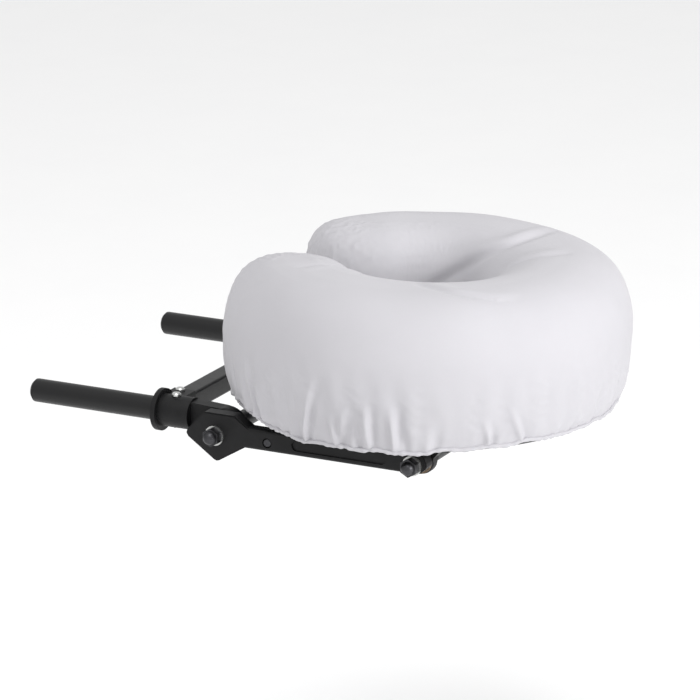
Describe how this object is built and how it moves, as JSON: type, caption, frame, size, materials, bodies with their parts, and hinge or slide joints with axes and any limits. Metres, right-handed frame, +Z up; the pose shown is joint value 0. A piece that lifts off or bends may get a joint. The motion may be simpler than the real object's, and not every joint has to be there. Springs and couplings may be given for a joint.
{
  "type": "face cradle",
  "caption": "Horseshoe face cushion in a fitted cover, held by hook and loop on a platform that tilts and rises on two hinged arms; two posts plug into a massage table's end.",
  "frame": {"origin": "midway between the two post axes, on the front face of the crossbar, in the plane where the posts enter the table's end rail", "axes": "+Y along the posts into the table, -Y towards the crown of the head, +Z up out of the face hole, X across the cradle"},
  "size_m": [0.327, 0.4585, 0.1908],
  "materials": {
    "post_tube": "satin",
    "black_plastic": "matte",
    "lever_plastic": "satin",
    "black_tube": "satin",
    "hardware": "satin",
    "black_hardware": "satin",
    "friction_disc": "matte",
    "rubber_bumper": "matte",
    "board": "matte",
    "hook_tape": "matte",
    "loop_fabric": "matte",
    "support_foam": "matte",
    "memory_foam": "matte",
    "upholstery": "satin",
    "cover_cloth": "matte",
    "elastic": "matte"
  },
  "bodies": {
    "base": {"left_post": "post_tube", "right_post": "post_tube", "post_end_plugs": "black_plastic", "left_base_bracket": "black_plastic", "right_base_bracket": "black_plastic", "base_crossbar": "black_tube", "base_bracket_screws": "hardware", "height_spacer_tube": "black_tube", "height_friction_discs": "friction_disc"},
    "arms": {"height_axle": "hardware", "height_axle_nut": "black_hardware", "height_axle_washers": "hardware", "height_cam_pin": "hardware", "left_arm": "black_plastic", "right_arm": "black_plastic", "arm_tie_tube": "black_tube", "arm_tie_screws": "black_hardware", "arm_bumpers": "rubber_bumper", "tilt_axle": "hardware", "tilt_axle_nut": "black_hardware", "tilt_axle_washers": "hardware", "tilt_cam_pin": "hardware"},
    "platform": {"platform_board": "board", "left_platform_bracket": "black_plastic", "right_platform_bracket": "black_plastic", "platform_bracket_screws": "hardware", "tilt_spacer_tube": "black_tube", "tilt_friction_discs": "friction_disc", "hook_strips": "hook_tape"},
    "cushion": {"loop_base_panel": "loop_fabric", "support_foam": "support_foam", "memory_foam": "memory_foam", "upholstery": "upholstery", "fitted_cover": "cover_cloth", "hem_elastic": "elastic"},
    "height_lever": {"height_cam_lever": "lever_plastic"},
    "tilt_lever": {"tilt_cam_lever": "lever_plastic"}
  },
  "joints": [
    {"name": "height_hinge", "type": "hinge", "parent": "base", "child": "arms", "pos_m": [0, -0.06, -0.008], "axis": [-1, 0, 0], "range_deg": [-35, 25]},
    {"name": "tilt_hinge", "type": "hinge", "parent": "arms", "child": "platform", "pos_m": [0, -0.232, -0.008], "axis": [1, 0, 0], "range_deg": [0, 50]},
    {"name": "cushion_lift", "type": "slide", "parent": "platform", "child": "cushion", "axis": [0, 0, 1], "range_m": [0, 0.1]},
    {"name": "height_lever_swing", "type": "hinge", "parent": "arms", "child": "height_lever", "pos_m": [0.1427, -0.06, -0.008], "axis": [0, -1, 0], "range_deg": [0, 100]},
    {"name": "tilt_lever_swing", "type": "hinge", "parent": "arms", "child": "tilt_lever", "pos_m": [0.1427, -0.232, -0.008], "axis": [0, 0, -1], "range_deg": [0, 100]}
  ]
}
